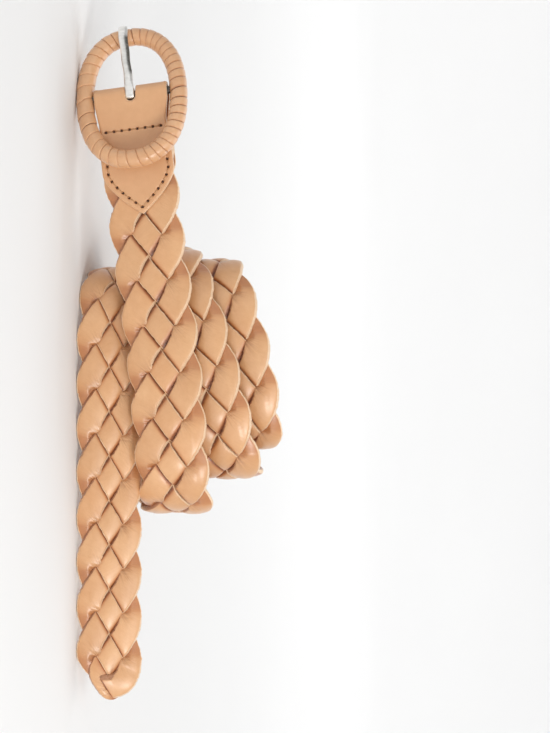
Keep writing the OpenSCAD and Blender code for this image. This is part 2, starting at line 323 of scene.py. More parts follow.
def metal(name, col, rough, scale=(900, 900, 60), bump=0.08):
    m = bpy.data.materials.new(name)
    m.use_nodes = True
    nt = m.node_tree
    bsdf = nt.nodes["Principled BSDF"]
    bsdf.inputs["Metallic"].default_value = 1.0
    co = nt.nodes.new("ShaderNodeTexCoord").outputs["Object"]
    mp = nt.nodes.new("ShaderNodeMapping")
    mp.inputs["Scale"].default_value = scale
    nt.links.new(co, mp.inputs["Vector"])
    br = _noise(nt, mp.outputs["Vector"], 1.0, 4, 0.6)
    bl = _noise(nt, co, 420, 3, 0.6)
    c = _ramp(nt, _math(nt, "ADD", _math(nt, "MULTIPLY", br, 0.5), _math(nt, "MULTIPLY", bl, 0.5)),
              [(0.35, tuple(v * 0.78 for v in col)), (0.62, col)])
    nt.links.new(c, bsdf.inputs["Base Color"])
    nt.links.new(_math(nt, "ADD", rough, _math(nt, "MULTIPLY", bl, 0.16)), bsdf.inputs["Roughness"])
    n = _bump(nt, br, bump, 0.0004)
    n = _bump(nt, bl, bump * 1.5, 0.0006, n)
    nt.links.new(n, bsdf.inputs["Normal"])
    return m


def thread_mat(name, col):
    m = bpy.data.materials.new(name)
    m.use_nodes = True
    nt = m.node_tree
    bsdf = nt.nodes["Principled BSDF"]
    uv = nt.nodes.new("ShaderNodeTexCoord").outputs["UV"]
    w = nt.nodes.new("ShaderNodeTexWave")
    w.wave_type = "BANDS"
    w.bands_direction = "DIAGONAL"
    w.inputs["Scale"].default_value = 1.0
    w.inputs["Distortion"].default_value = 0.6
    nt.links.new(uv, w.inputs["Vector"])
    fac = w.outputs["Fac"]
    c = _ramp(nt, fac, [(0.1, tuple(v * 0.7 for v in col)), (0.6, col)])
    nt.links.new(c, bsdf.inputs["Base Color"])
    bsdf.inputs["Roughness"].default_value = 0.7
    nt.links.new(_bump(nt, fac, 0.6, 0.0002), bsdf.inputs["Normal"])
    return m


LIGHT = lin(224, 174, 125)
DARK = lin(212, 157, 107)
EDGE = lin(255, 224, 186)
STRAND_MATS = [leather("strand_leather_%d" % k, tuple(c * f for c in LIGHT), tuple(c * f for c in DARK), EDGE, 0.48, k * 3.1)
               for k, f in enumerate((1.0, 0.965, 1.02, 0.98))]
CHAPE_MAT = leather("chape_leather", lin(222, 170, 122), lin(212, 158, 110), EDGE, 0.5, 20.0, False)
LACE_MAT = leather("lace_leather", lin(224, 174, 128), lin(212, 158, 112), lin(226, 178, 134), 0.44, 33.0, False)
NICKEL = metal("nickel", (0.97, 0.96, 0.93), 0.25)
# painted dark reflection on the tongue's bevel, where the facet mask is set
_nt = NICKEL.node_tree
_bs = _nt.nodes["Principled BSDF"]
_old = _bs.inputs["Base Color"].links[0].from_socket
_co = _nt.nodes.new("ShaderNodeTexCoord").outputs["Object"]
_fm = _math(_nt, "MULTIPLY", _attr(_nt, "painted_facet_reflection"), _math(_nt, "ADD", 0.55, _noise(_nt, _co, 700, 3, 0.7)), True)
_nt.links.new(_mix(_nt, _fm, _old, (0.19, 0.185, 0.17)), _bs.inputs["Base Color"])
# painted shade: the core metal is near-black so the bar ends read as the shaded gap beside the chape
CORE_METAL_SHADED = metal("steel", (0.17, 0.16, 0.15), 0.42)
THREAD = thread_mat("thread", lin(222, 170, 122))

# ------------------------------------------------------------------ plait
SW = 12.05       # strand width at full strap width
ST = 2.0         # strand thickness
LIFT = 1.5
CROWN = 0.62
TRI = 0.3
S_FIRST = 20.0


def wv(p):
    p = np.radians(p)
    return (np.sin(p) - TRI / 9 * np.sin(3 * p)) / (1 + TRI / 9)


def dwv(p):
    p = np.radians(p)
    return (np.cos(p) - TRI / 3 * np.cos(3 * p)) / (1 + TRI / 9)


_pt = np.linspace(-90, 90, 721)
_wt = wv(_pt)


def level(mu):
    """+1 over the crossing strand, -1 under it; steep at the crossings, slower round the bends."""
    mu = (mu + 4) % 8 - 4
    a = np.abs(mu)
    # the strand that shows as a diamond dips under its neighbours' cut edges a little before it reaches them
    dia = np.cos(np.pi * mu) - 0.12
    mid = np.where(mu > 0, -np.cos(np.pi * mu), np.where(dia > 0, dia / 0.88, dia / 1.12))
    inner = np.sin(np.pi / 2 * np.clip(mu + 0.14, -1, 1))
    m2 = (mu - 4.14 + 4) % 8 - 4
    outer = -np.sin(np.pi / 2 * np.clip(m2, -1, 1))
    g = np.where(a <= 1, inner, np.where(a < 3, mid, outer))
    p = np.where((a > 1) & (a < 3), np.where(mu > 0, 0.42, 0.5), 0.7)
    return np.sign(g) * np.abs(g) ** p


def smooth_path(pts, n):
    """Points spread evenly along a uniform cubic B-spline that starts and ends at the given points."""
    p = np.array(pts, float)
    p = np.vstack([2 * p[0] - p[1], p, 2 * p[-1] - p[-2]])
    t = np.linspace(0, len(p) - 3 - 1e-9, 600)
    i, f = np.floor(t).astype(int), (t - np.floor(t))[:, None]
    b = [(1 - f) ** 3 / 6, (3 * f ** 3 - 6 * f * f + 4) / 6, (-3 * f ** 3 + 3 * f * f + 3 * f + 1) / 6, f ** 3 / 6]
    q = sum(b[j] * p[i + j] for j in range(4))
    d = np.concatenate([[0], np.cumsum(np.linalg.norm(np.diff(q[:, :2], axis=0), axis=1))])
    u = np.linspace(0, d[-1], n)
    return np.stack([np.interp(u, d, q[:, c]) for c in range(q.shape[1])], 1)


# how each strand leaves the regular plait at the tip: last row, then points (mm before the tip, across, level)
TIPS = {
    0: (52.44, []),
    1: (52.12, [(-15.6, -8.0, -0.5), (-12.2, -5.2, -1.0), (-10.0, -1.4, -1.1)]),
    2: (52.22, [(-13.4, -6.3, 0.75), (-9.2, -5.9, 0.95), (-5.7, -4.2, 1.05), (-3.1, -1.8, 0.85), (-2.5, 0.7, 0.2), (-3.8, 2.8, -0.8), (-5.6, 4.2, -1.3)]),
    3: (52.18, [(-15.0, 8.6, 1.0), (-10.4, 6.2, 1.05), (-7.4, 3.1, 1.1), (-6.4, 0.6, 1.1), (-6.0, -1.6, 1.0)]),
}


def make_strand(k):
    r_end, extra = TIPS[k]
    lo = 90 * (np.interp(S_FIRST, R2[:, 0], R2[:, 1]) - k)
    hi = 90 * (r_end - k)
    ps = [lo]
    while ps[-1] < hi:
        d = abs((ps[-1] % 180) - 90)
        ps.append(ps[-1] + (1.3 if d < 42 else 2.6))
    ps[-1] = hi
    ph = np.array(ps)
    R = ph / 90 + k
    sc = np.interp(R, R2[:, 1], R2[:, 0])
    hw = np.interp(sc, _sg, _hg)
    w = SW * (hw / 17.6) ** 0.5
    amp = hw - w / 2 - 0.05
    xc = amp * wv(ph)
    n0 = len(ph)
    lev = np.full(n0, np.nan)
    if extra:
        tail = smooth_path([(sc[-1] - S_TIP, xc[-1], 0.0)] + extra, 46)[1:]
        sc = np.concatenate([sc, tail[:, 0] + S_TIP])
        xc = np.concatenate([xc, tail[:, 1]])
        lev = np.concatenate([lev, tail[:, 2]])
        ph = np.concatenate([ph, ph[-1] + np.arange(1, 46) * 1.6])
        hw = np.concatenate([hw, np.full(45, hw[-1])])
        amp = np.concatenate([amp, np.full(45, amp[-1])])
        w = np.concatenate([w, w[-1] * np.interp(np.arange(45), [0, 12, 22, 44], {1: [1, 0.88, 0.78, 0.6], 2: [1, 0.70, 0.46, 0.34], 3: [1, 0.98, 0.95, 0.8]}[k])])
        a = n0 - 10
        for _ in range(14):
            sc[a:-1] = (sc[a - 1:-2] + 2 * sc[a:-1] + sc[a + 1:]) / 4
            xc[a:-1] = (xc[a - 1:-2] + 2 * xc[a:-1] + xc[a + 1:]) / 4
    n = len(ph)
    ts, tx = np.gradient(sc), np.gradient(xc)
    nn = np.hypot(ts, tx)
    cos, sin = ts / nn, tx / nn
    # cross-section: (across -1..1, up -1..1, edge)
    top = [(v, 1.0, 0.0) for v in np.linspace(-0.9, 0.9, 17)]
    right = [(0.948, 0.92, 0.9), (0.985, 0.62, 1.0), (1.0, 0.1, 1.0), (0.985, -0.6, 1.0), (0.95, -0.9, 0.4)]
    bot = [(v, -1.0, 0.0) for v in np.linspace(0.88, -0.88, 9)]
    left = [(-a, b, c) for a, b, c in right[::-1]]
    sec = np.array(top + right + bot + left)
    nc = len(sec)
    # hand-cut edges wander a little
    kn = np.arange(0, n + 9, 2)
    wob = np.interp(np.arange(n), kn, RNG.normal(0, 1, len(kn)))
    wob2 = np.interp(np.arange(n), kn, RNG.normal(0, 1, len(kn)))
    vv = np.broadcast_to(sec[None, :, 0], (n, nc))
    pl0 = (ph + 90) % 360 - 90
    slant = 0.52 * smooth01((pl0 - 76) / 26) * (1 - smooth01((pl0 - 236) / 28))
    slant = slant[:, None] * np.where(vv > 0, 1.6, 1.0) * np.clip((sec[None, :, 1] + 0.7) / 1.6, 0, 1) * np.abs(vv) ** 6
    v = vv * (w / 2)[:, None] - np.sign(vv) * slant + np.where(vv > 0.92, 0.085 * wob[:, None], 0) + np.where(vv < -0.92, 0.085 * wob2[:, None], 0)
    s = sc[:, None] - v * sin[:, None]
    x = xc[:, None] + v * cos[:, None]
    twist = 0.0
    if k == 3:
        q = smooth01((np.arange(n) - (n - 34)) / 26.0)[:, None]
        x = x + 0.5 * v * smooth01((np.arange(n) - (n - 12)) / 11.0)[:, None]
        twist = -0.38 * v * q
        cut_side = (vv < -0.93) * q * 2.0 * np.clip((0.95 - sec[None, :, 1]) / 1.9, 0, 1)
        s = s + cut_side * sin[:, None]
        x = x - cut_side * cos[:, None]
    cyc = np.floor((ph / 90 + 1) / 4)[:, None]
    rho = np.interp(s, R2[:, 0], R2[:, 1]) - k - 4 * cyc
    fu = np.interp(np.clip(x / amp[:, None], -1, 1), _wt, _pt) / 90
    up = rho - 2 + fu
    dn = rho - fu
    loc = ((ph + 90) % 360 - 90)[:, None]
    wt = smooth01((loc - 62) / 56)
    mu = up * (1 - wt) + dn * wt
    upn = (rho - 4) - 2 + fu + 8
    wt2 = smooth01((loc - 242) / 56)
    mu = np.where(loc > 180, dn * (1 - wt2) + upn * wt2, mu)
    dnp = (rho + 4) - fu - 8
    wt3 = smooth01((loc + 90 + 28) / 56)
    mu = np.where(loc < -62, dnp * (1 - wt3) + up * wt3, mu)
    g = level(mu)
    wl = np.zeros((n, 1))
    if extra:
        gc = np.where(np.isnan(lev), 0, lev)
        wl = np.clip((np.arange(n) - (n0 - 6)) / 16.0, 0, 1)
        wl = (wl * wl * (3 - 2 * wl))[:, None]
        g = g * (1 - wl) + gc[:, None] * wl
    h = LIFT * g
    topm = (sec[:, 1] > 0)[None, :]
    crown = CROWN * (1 - np.abs(vv) ** 2.2)
    bend = np.exp(-((np.abs(((ph % 180) - 90)) / 30.0) ** 2))[:, None]
    pl = (ph + 90) % 360 - 90
    side = np.where((pl < 180) & (pl > 0), 1.0, -1.0)[:, None]
    outer, inner = np.clip(vv * side, 0, 1), np.clip(-vv * side, 0, 1)
    roll = -1.05 * bend * outer ** 1.8
    idx = np.round((ph - 90) / 180).astype(int)
    r1 = RNG.uniform(0, 2 * np.pi, 200)[idx % 200][:, None]
    r2 = RNG.uniform(0.8, 1.25, 200)[idx % 200][:, None]
    pw = (ph % 180 - 90)[:, None]
    fan = pw + 5.0 * vv * side
    wr = np.exp(-(np.sin(fan * 0.21 * r2 + r1) / 0.42) ** 2) + 0.6 * np.exp(-(np.sin(fan * 0.34 * r2 + 2.3 * r1) / 0.5) ** 2)
    pc = np.where(side > 0, -13.0, 14.0)
    zone = np.exp(-((pw - pc) / 19.0) ** 2) * smooth01((inner - outer + 0.45) / 1.3)
    pinch = np.exp(-((pw - pc * 1.05) / (3.5 + 6.0 * (1 - inner))) ** 2) * smooth01((inner - 0.1) / 0.75)
    crease = -0.42 * zone * wr - 0.75 * pinch
    z = h + np.where(topm, sec[None, :, 1] * ST / 2 + crown * (sec[None, :, 1] > 0.95), sec[None, :, 1] * ST / 2 - 0.7 * crown * (sec[None, :, 1] < -0.95))
    z = z + roll + np.where(topm, crease, 0) + twist
    z = z + 0.10 * np.sin(ph * 0.043 + k)[:, None] * vv
    fl = smooth01((s - 46) / 30)
    z = np.clip(z, -2.25, 2.25) * (1 - fl) + z * fl
    pts = on(s, x, z)
    mm = np.abs((mu + 4) % 8 - 4)
    atbend = 1 - np.minimum(smooth01((mm - 0.55) / 0.5), smooth01((3.45 - mm) / 0.5))
    gs = np.where(topm, g, -g)
    # painted shade: the tuck mask darkens the strand where it dives under a neighbour, more weakly round the bends
    tuck_shade = smooth01((0.90 - gs) / 1.0) * (1 - atbend) + 0.56 * smooth01((0.72 - gs) / 1.1) * atbend
    # painted shade close to each strand end, with a faint broader darkening towards one side
    dz = np.minimum(np.abs(mm - 1.5), np.abs(mm - 2.5)) * 12.0
    end_shade = 0.85 * np.exp(-(dz / 1.15) ** 2) + 0.07 * np.exp(-(dz / 4.2) ** 2) * smooth01((vv * side + 1.4) / 1.6)
    tuck_shade = np.maximum(tuck_shade, end_shade * (1 - atbend) * (1 - wl))
    tuck_shade = np.where(np.abs(sec[None, :, 0]) > 0.93, tuck_shade * 0.4, tuck_shade)
    # painted shade in the crease zone and the pinch at the inner corner of each bend
    tuck_shade = np.maximum(tuck_shade, np.where(topm, np.clip(0.5 * np.clip(wr, 0, 1.2) * zone + 0.7 * pinch, 0, 1), 0))
    # painted shade in the dark slit at the very end of strand 4
    if k == 3:
        tuck_shade = np.maximum(tuck_shade, 0.9 * np.exp(-((n - 1 - np.arange(n)) / 2.0) ** 2)[:, None])
    edge = np.broadcast_to(sec[None, :, 2], tuck_shade.shape)
    # creases radiate from the inner corner of the bend; the fold sits above or below its middle. The ray mask paints
    # shade along these crease lines and drives their bump.
    cen_b = 90 + 180 * idx + np.where(np.mod(idx, 2) == 0, -23.0, 27.0)
    sgn_b = np.where(np.mod(idx, 2) == 0, 1.0, -1.0)
    vi = -sgn_b * 0.5
    s_in = np.interp(cen_b, ph, sc) - vi * np.interp(cen_b, ph, w) * np.interp(cen_b, ph, sin)
    x_in = np.interp(cen_b, ph, xc) + vi * np.interp(cen_b, ph, w) * np.interp(cen_b, ph, cos)
    ds, dx = s - s_in[:, None], (x - x_in[:, None]) * sgn_b[:, None] + 0.6
    rr = np.hypot(ds, dx)
    ray = np.exp(-(rr / 6.4) ** 2) * smooth01((rr - 0.2) / 0.8) * smooth01((dx + 1.5) / 2.5)
    ray = np.where(topm, ray * np.clip(1.25 * r2, 0, 1.5), 0) * (np.abs(vv) < 0.95)
    fan_a = np.arctan2(ds, dx) * 2.6 + 7.7 * idx[:, None] + 31.0 * k
    # painted shade on the slanted cut faces: full on the up-left faces away from the light, slight on the others
    rim = np.where(vv < 0, 1.0, 0.12) * smooth01((slant.max(1) / 0.8))[:, None] + np.zeros_like(s)
    faces = [tuple(f) for f in grid_faces(n, nc, True, flip=True)]
    verts = pts.reshape(-1, 3)
    base = len(verts)
    verts = np.vstack([verts, pts[0].mean(0), pts[-1].mean(0)])
    for j in range(nc):
        faces.append((base, j, (j + 1) % nc))
        faces.append((base + 1, (n - 1) * nc + (j + 1) % nc, (n - 1) * nc + j))
    ln = np.concatenate([[0], np.cumsum(np.linalg.norm(np.diff(pts[:, 7], axis=0), axis=1))])
    uv = np.stack([np.broadcast_to(ln[:, None] / 100, tuck_shade.shape), v / 100 + 0.5], -1).reshape(-1, 2)
    uv = np.vstack([uv, uv[:2]])
    ob = new_mesh("braid_strand_%d" % (k + 1), verts, faces,
                  {"tuck_shade": np.append(tuck_shade.ravel(), [0, 0]), "edge": np.append(edge.ravel(), [1, 1]), "ray": np.append(ray.ravel(), [0, 0]),
                   "fan": np.append(fan_a.ravel(), [0, 0]), "rim": np.append(rim.ravel(), [0, 0])}, uv)
    ob.data.materials.append(STRAND_MATS[k])
    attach(ob, "strap")
    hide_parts("strand_%d" % (k + 1))
    return ob


_sg = np.linspace(0, ROUTE_L, 900)
_hg = np.interp(np.interp(_sg, _L, _ts), _ts, route(_ts)[:, 3 + 1])
for k in range(4):
    make_strand(k)

# ------------------------------------------------------------------ buckle frame of reference
TILT = 22.5
A_SL = math.atan(SLOPE)
ORG = np.array([BX, 0, BZ]) + SHIFT


def bar_axes(tilt=0.0):
    """Columns: along the strap, into the coil, along the bar, turned by tilt about the bar."""
    ca, sa = math.cos(A_SL), math.sin(A_SL)
    X, Y, Z = np.array([ca, 0, sa]), np.array([0, 1.0, 0]), np.array([-sa, 0, ca])
    t = math.radians(-tilt)
    return np.stack([X * math.cos(t) + Y * math.sin(t), -X * math.sin(t) + Y * math.cos(t), Z], 1)


M_BAR, M_RING = bar_axes(0), bar_axes(TILT)


def put(local, M):
    return np.asarray(local) @ M.T + ORG


CORE_R, LACE_T = 3.0, 1.1
TUBE = CORE_R + LACE_T + 0.13
RA, RB, EX, ROFF = 73 / 2 - TUBE, 51.6 / 2 - TUBE, 2.3, 1.3


def ring_p(u):
    c, s = np.cos(u), np.sin(u)
    return np.stack([ROFF + RA * np.sign(c) * np.abs(c) ** (2 / EX), 0 * u, 0.5 + (RB + 0.6) * np.sign(s) * np.abs(s) ** (2 / EX)], -1)


def ring_n(u):
    d = ring_p(u + 0.01) - ring_p(u - 0.01)
    d /= np.linalg.norm(d, axis=-1, keepdims=True)
    return np.stack([d[..., 2], 0 * u, -d[..., 0]], -1), d


# ------------------------------------------------------------------ lace wound on the ring
def make_lace():
    turns, m = 40, 44
    n = turns * m
    t = np.arange(n) / n
    u = np.radians(360 * t + 12.6 * np.cos(2 * np.pi * t))
    ang = np.radians(100) + 2 * np.pi * np.arange(n) / m
    pitch_u = 2 * np.pi / turns * (1 - 0.22 * np.sin(2 * np.pi * t))
    jit = RNG.normal(0, 1, turns + 2)
    tw = np.interp(np.arange(n) / m, np.arange(turns + 2), jit)
    # across the lace: -0.5 tucked edge ... +0.5 free edge lying on the next turn
    ws = np.array([-0.5, -0.44, -0.3, -0.12, 0.08, 0.26, 0.40, 0.47, 0.505, 0.515, 0.50])
    rs = np.array([-0.42, -0.20, -0.06, 0.02, 0.07, 0.10, 0.09, 0.03, -0.10, -0.30, -0.5])
    ed = np.array([0, 0, 0, 0, 0, 0, 0.0, 0.2, 0.9, 1.0, 1.0])
    inner = [(0.45, -1.0), (0.0, -1.0), (-0.45, -1.0)]
    W = np.append(ws, [a for a, _ in inner])
    Rr = np.append(rs * 0.85, [-0.9, -0.9, -0.9])
    E = np.append(ed, [0, 0, 0])
    nc = len(W)
    uu = u[:, None] + W[None, :] * (pitch_u * (1 + 0.035 * tw))[:, None]
    P = ring_p(uu)
    N, D = ring_n(uu)
    r = TUBE - 0.08 + Rr[None, :] + 0.05 * tw[:, None] * (Rr[None, :] > -0.6)
    a = ang[:, None]
    pts = P + r[..., None] * (np.cos(a)[..., None] * N + np.sin(a)[..., None] * np.array([0, 1.0, 0]))
    verts = put(pts.reshape(-1, 3), M_RING)
    faces = [tuple(f) for f in grid_faces(n, nc, True, flip=False)]
    faces += [tuple(range(nc - 1, -1, -1)), tuple((n - 1) * nc + j for j in range(nc))]
    # painted shade along the tucked edge of each turn, stronger on one side of the ring
    tuck_shade = smooth01((-0.36 - W) / 0.12)[None, :] * (0.5 + 0.22 * np.sin(uu - 0.4))
    edge = np.broadcast_to(E[None, :], uu.shape)
    ob = new_mesh("buckle_lace_wrap", verts, faces, {"tuck_shade": tuck_shade.ravel(), "edge": edge.ravel() * 0.7}, shift=False)
    ob.data.materials.append(LACE_MAT)
    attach(ob, "buckle")
    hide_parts("buckle_lace")
    return ob


make_lace()

# ------------------------------------------------------------------ chape, folded round the bar
T_CH = 1.8
HALF_IN = 2.42 + 0.0
R_MID = HALF_IN + T_CH / 2
ARC = math.pi * R_MID / 2
CH_L = 56.0


def outline_w(x, L):
    """Half width of a flap at distance x from the bar: waisted inside the ring, then to a point."""
    x = np.asarray(x, float)
    t = np.clip((x - (L - 20)) / 20, 0, 1)
    w = np.interp(x, [0, 4, 9, 13, 17, 22, 26, 99], [17.3, 17.2, 16.4, 15.85, 15.85, 16.35, 16.9, 16.9])
    return w * (1 - t ** 1.6)


def stitch_points():
    bar = [(16.4, (i + 0.5) * 3.7) for i in range(-4, 4)]
    xs = np.linspace(24, CH_L, 700)
    P = np.stack([xs, outline_w(xs, CH_L)], 1)
    d = np.gradient(P, axis=0)
    d /= np.linalg.norm(d, axis=1, keepdims=True)
    Q = P + np.stack([d[:, 1], -d[:, 0]], 1) * 2.7
    Q = Q[Q[:, 1] > 0]
    Q = np.vstack([Q, [Q[-1, 0] + 0.1, 0]])[::-1]
    l = np.concatenate([[0], np.cumsum(np.linalg.norm(np.diff(Q, axis=0), axis=1))])
    m = int(l[-1] / 3.75)
    q = [(float(np.interp(3.75 * i, l, Q[:, 0])), float(np.interp(3.75 * i, l, Q[:, 1]))) for i in range(m + 1)]
    return bar, [(a, -b) for a, b in q[:0:-1]] + q


BARS, CONS = stitch_points()


def make_chape():
    Lf, Lb = CH_L, CH_L - 3
    end_f, end_b = -(ARC + Lf), ARC + Lb
    # outline as one closed loop in (l, z)
    up = []
    xs = np.concatenate([[0], np.linspace(0.2, Lf - 20, 60)[1:], Lf - 20 + 20 * np.sin(np.linspace(0, math.pi / 2, 34))[1:]])
    for x in xs[::-1]:
        up.append((-(ARC + x), float(outline_w(np.array(x), Lf))))
    for l in np.linspace(-ARC, ARC, 22)[1:-1]:
        up.append((l, 17.3))
    xb = np.concatenate([[0], np.linspace(0.2, Lb - 20, 60)[1:], Lb - 20 + 20 * np.sin(np.linspace(0, math.pi / 2, 34))[1:]])
    for x in xb:
        up.append((ARC + x, float(outline_w(np.array(x), Lb))))
    up[0] = (up[0][0], 0.0)
    up[-1] = (up[-1][0], 0.0)
    low = [(l, -z) for l, z in up[-2:0:-1]]
    outer = up + low
    sx, sw = ARC + 3.0, 2.4
    slot = []
    for a in np.linspace(-90, 90, 13):
        slot.append((sx - sw + sw * math.cos(math.radians(a)), sw * math.sin(math.radians(a))))
    for a in np.linspace(90, 270, 13):
        slot.append((-sx + sw + sw * math.cos(math.radians(a)), sw * math.sin(math.radians(a))))
    step = 0.42
    gl = np.arange(end_f + 0.3, end_b, step)
    gz = np.arange(-17.0, 17.0, step)
    GL, GZ = np.meshgrid(gl, gz, indexing="ij")
    GL = GL + (np.arange(GZ.shape[1]) % 2)[None, :] * step / 2
    p = np.stack([GL.ravel(), GZ.ravel()], 1)
    x_of = np.abs(p[:, 0]) - ARC
    Lx = np.where(p[:, 0] < 0, Lf, Lb)
    ow = np.where(x_of < 0, 17.3, np.where(p[:, 0] < 0, outline_w(np.clip(x_of, 0, Lf), Lf), outline_w(np.clip(x_of, 0, Lb), Lb)))
    keep = (np.abs(p[:, 1]) < ow - 0.28) & (x_of < Lx - 0.4)
    ins = (np.abs(p[:, 1]) < sw + 0.25) & (np.abs(p[:, 0]) < sx + 0.25)
    p = p[keep & ~ins]
    # finer points round each stitch hole
    holes = [(-(ARC + x), z) for x, z in BARS + CONS] + [(ARC + x, z) for x, z in BARS + CONS if x < Lb - 3]
    extra = []
    for (l, z) in holes:
        for r in (0.16, 0.32, 0.48, 0.66, 0.88):
            for a in np.linspace(0, 2 * np.pi, 13)[:-1]:
                extra.append((l + r * math.cos(a), z + r * math.sin(a)))
        extra.append((l, z))
    hp = np.array(holes)
    d = np.min(np.hypot(p[:, None, 0] - hp[None, :, 0], p[:, None, 1] - hp[None, :, 1]), axis=1)
    p = np.vstack([p[d > 1.0], np.array(extra)])
    pts2 = [Vector(q) for q in outer + slot] + [Vector(q) for q in p.tolist()]
    no, nsl = len(outer), len(slot)
    e1 = [(i, (i + 1) % no) for i in range(no)]
    e2 = [(no + i, no + (i + 1) % nsl) for i in range(nsl)]
    res = delaunay_2d_cdt(pts2, e1 + e2, [], 0, 1e-5, False)
    v2 = np.array([(q.x, q.y) for q in res[0]])
    f2 = np.array([f for f in res[2] if len(f) == 3])
    cen = v2[f2].mean(1)
    cx = np.abs(cen[:, 0]) - ARC
    cw = np.where(cx < 0, 17.3, np.where(cen[:, 0] < 0, outline_w(np.clip(cx, 0, Lf), Lf), outline_w(np.clip(cx, 0, Lb), Lb)))
    dx = np.maximum(np.abs(cen[:, 0]) - (sx - sw), 0)
    in_slot = (dx * dx + cen[:, 1] ** 2) < sw * sw * 0.985
    ok = (np.abs(cen[:, 1]) < cw + 0.02) & ~in_slot & (cx < np.where(cen[:, 0] < 0, Lf, Lb))
    f2 = f2[ok]
    ar = (v2[f2[:, 1], 0] - v2[f2[:, 0], 0]) * (v2[f2[:, 2], 1] - v2[f2[:, 0], 1]) - (v2[f2[:, 2], 0] - v2[f2[:, 0], 0]) * (v2[f2[:, 1], 1] - v2[f2[:, 0], 1])
    f2 = f2[np.abs(ar) > 1e-6]
    ar = ar[np.abs(ar) > 1e-6]
    f2[ar < 0] = f2[ar < 0][:, ::-1]
    used = np.unique(f2)
    remap = -np.ones(len(v2), int)
    remap[used] = np.arange(len(used))
    v2, f2 = v2[used], remap[f2]
    # boundary edges
    ed = np.sort(np.vstack([f2[:, [0, 1]], f2[:, [1, 2]], f2[:, [2, 0]]]), axis=1)
    key, cnt = np.unique(ed, axis=0, return_counts=True)
    bnd = {tuple(e) for e in key[cnt == 1]}
    on_b = np.zeros(len(v2), bool)
    for a, b in bnd:
        on_b[a] = on_b[b] = True
    l, z = v2[:, 0], v2[:, 1]
    xo = np.abs(l) - ARC
    # distance to the outline, for the rounded rim
    bp = v2[on_b]
    dist = np.full(len(v2), 9.0)
    near = np.where(~on_b)[0]
    for c in range(0, len(near), 4000):
        q = v2[near[c:c + 4000]]
        dist[near[c:c + 4000]] = np.sqrt(((q[:, None, :] - bp[None, :, :]) ** 2).sum(-1)).min(1)
    dist[on_b] = 0
    hd = np.sqrt(((v2[:, None, :] - hp[None, :, :]) ** 2).sum(-1))
    hdir = []
    for rowp in (BARS, CONS):
        rp = np.array(rowp)
        dd = np.gradient(rp, axis=0)
        hdir.append(dd / np.linalg.norm(dd, axis=1, keepdims=True))
    hdir = np.vstack(hdir)
    allp = np.array(BARS + CONS)
    hdv = np.array([[(-1 if q[0] < 0 else 1) * hdir[j][0], hdir[j][1]] for q in hp
                    for j in [int(np.argmin(np.hypot(allp[:, 0] - (abs(q[0]) - ARC), allp[:, 1] - q[1])))]])
    rel = v2[:, None, :] - hp[None, :, :]
    al = (rel * hdv[None]).sum(-1)
    ac = rel[..., 0] * hdv[None, :, 1] - rel[..., 1] * hdv[None, :, 0]
    pit = np.exp(-((al / 0.80) ** 2 + (ac / 0.55) ** 2) ** 2).max(1)
    dimple = np.exp(-(hd / 1.3) ** 2).max(1)

    def lineseg(P, Q):
        P, Q = np.array(P), np.array(Q)
        t = np.clip(((v2 - P) @ (Q - P)) / ((Q - P) @ (Q - P)), 0, 1)
        return np.linalg.norm(v2 - (P + t[:, None] * (Q - P)), axis=1)

    gr = np.full(len(v2), 9.0)
    for rowp in (BARS, CONS):
        for i in range(len(rowp) - 1):
            for sgn in (-1, 1):
                gr = np.minimum(gr, lineseg((sgn * (ARC + rowp[i][0]), rowp[i][1]), (sgn * (ARC + rowp[i + 1][0]), rowp[i + 1][1])))
    groove = np.exp(-(gr / 0.55) ** 2)
    rim = 1 - smooth01(dist / 0.55)
    swell = 0.16 * np.exp(-((dist - 1.0) / 0.8) ** 2) * (dist > 0)
    out_off = T_CH / 2 - 0.30 * rim ** 1.5 + swell - 0.14 * groove - 0.95 * pit - 0.10 * dimple
    # the flap swells a little over the strand ends between the rows of stitches
    out_off = out_off + 0.22 * np.exp(-(((xo - 33) / 12) ** 2 + (z / 9) ** 2))
    in_off = -T_CH / 2 + 0.22 * rim ** 1.5

    def fold(off):
        r = R_MID + off
        a = l / R_MID
        fx = np.where(np.abs(l) < ARC, -r * np.cos(a), np.abs(l) - ARC)
        fy = np.where(np.abs(l) < ARC, r * np.sin(a), np.sign(l) * r)
        return np.stack([fx, fy, z], 1)

    z = z + 0.4 * smooth01(1 - np.maximum(xo, 0) / 13)
    V = np.vstack([fold(out_off), fold(in_off)])
    nv = len(v2)
    F = [tuple(f) for f in f2[:, ::-1]] + [tuple(f + nv) for f in f2]
    dirs = {}
    for f in f2:
        for a, b in ((f[0], f[1]), (f[1], f[2]), (f[2], f[0])):
            dirs[(a, b)] = True
    mid = np.zeros((0, 3))
    # two rows down the cut edge, between its top and bottom
    bi = np.where(on_b)[0]
    pos = {int(b): i for i, b in enumerate(bi)}
    cenb = fold(np.zeros(nv))[bi]
    V = np.vstack([V, V[bi] * 0.68 + V[bi + nv] * 0.32, V[bi] * 0.32 + V[bi + nv] * 0.68])
    b1, b2 = 2 * nv, 2 * nv + len(bi)
    # faces from the top rim through the two middle rows to the bottom rim
    for (a, b) in dirs:
        if tuple(sorted((a, b))) in bnd:
            i, j = pos[int(a)], pos[int(b)]
            F.append((a, b, b1 + j, b1 + i))
            F.append((b1 + i, b1 + j, b2 + j, b2 + i))
            F.append((b2 + i, b2 + j, b + nv, a + nv))
    edge = np.concatenate([rim ** 3 * 0.75, rim * 0.9, np.ones(2 * len(bi))])
    # painted shade: the tuck mask darkens the stitch holes, a little along the stitch grooves, and the whole inner face
    tuck_shade = np.concatenate([np.clip(pit * 1.6, 0, 1) + 0.03 * groove, np.full(nv, 0.5), np.zeros(2 * len(bi))])
